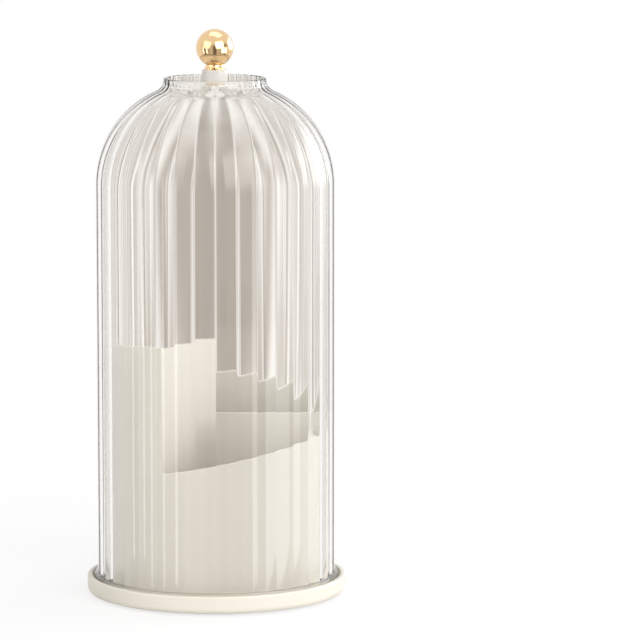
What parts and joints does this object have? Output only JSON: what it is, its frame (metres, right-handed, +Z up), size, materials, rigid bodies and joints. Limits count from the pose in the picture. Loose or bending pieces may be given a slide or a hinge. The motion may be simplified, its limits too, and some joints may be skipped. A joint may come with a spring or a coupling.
{
  "type": "rotating makeup brush holder",
  "caption": "Round brush holder on a turntable: cup with compartments whose rims climb in slanted steps, under a clear fluted dome lifted off by a ball knob.",
  "frame": {"origin": "on the table, under the middle of the tray", "axes": "+Z up along the turning axis, -Y towards the front, where the low compartment opens"},
  "size_m": [0.14, 0.14, 0.3063],
  "materials": {
    "cream_plastic": "satin cream moulded plastic",
    "holder_plastic": "satin warm white moulded plastic",
    "clear_plastic": "clear polished plastic, fluted outside",
    "white_plastic": "white gloss plastic",
    "gold_metal": "polished gold plating",
    "brass_screw": "plated screw",
    "screw_steel": "zinc plated",
    "ball_steel": "polished steel",
    "cage_plastic": "natural nylon",
    "foot_rubber": "matt rubber"
  },
  "bodies": {
    "foot": {"foot_disc": "cream_plastic", "rubber_foot_1": "foot_rubber", "rubber_foot_2": "foot_rubber", "rubber_foot_3": "foot_rubber", "rubber_foot_4": "foot_rubber", "pivot_screw": "screw_steel", "pivot_washer": "screw_steel"},
    "ball_ring": {"ball_cage": "cage_plastic", "bearing_ball_01": "ball_steel", "bearing_ball_02": "ball_steel", "bearing_ball_03": "ball_steel", "bearing_ball_04": "ball_steel", "bearing_ball_05": "ball_steel", "bearing_ball_06": "ball_steel", "bearing_ball_07": "ball_steel", "bearing_ball_08": "ball_steel", "bearing_ball_09": "ball_steel", "bearing_ball_10": "ball_steel", "bearing_ball_11": "ball_steel", "bearing_ball_12": "ball_steel"},
    "turntable": {"base_tray": "cream_plastic", "holder": "holder_plastic", "holder_screws": "screw_steel"},
    "dome": {"dome_cover": "clear_plastic", "knob_stem": "white_plastic", "knob_ball": "gold_metal", "knob_screw": "brass_screw", "knob_washer": "brass_screw"}
  },
  "joints": [
    {"name": "turntable_spin", "type": "hinge", "parent": "foot", "child": "turntable", "pos_m": [0, 0, 0.007], "axis": [0, 0, 1], "continuous": true},
    {"name": "ball_ring_spin", "type": "hinge", "parent": "foot", "child": "ball_ring", "pos_m": [0, 0, 0.0038], "axis": [0, 0, 1], "continuous": true},
    {"name": "dome_lift", "type": "slide", "parent": "turntable", "child": "dome", "axis": [0, 0, 1], "range_m": [0, 0.25]}
  ],
  "couplings": [
    {"joint": "ball_ring_spin", "follows": "turntable_spin", "ratio": 0.5}
  ]
}
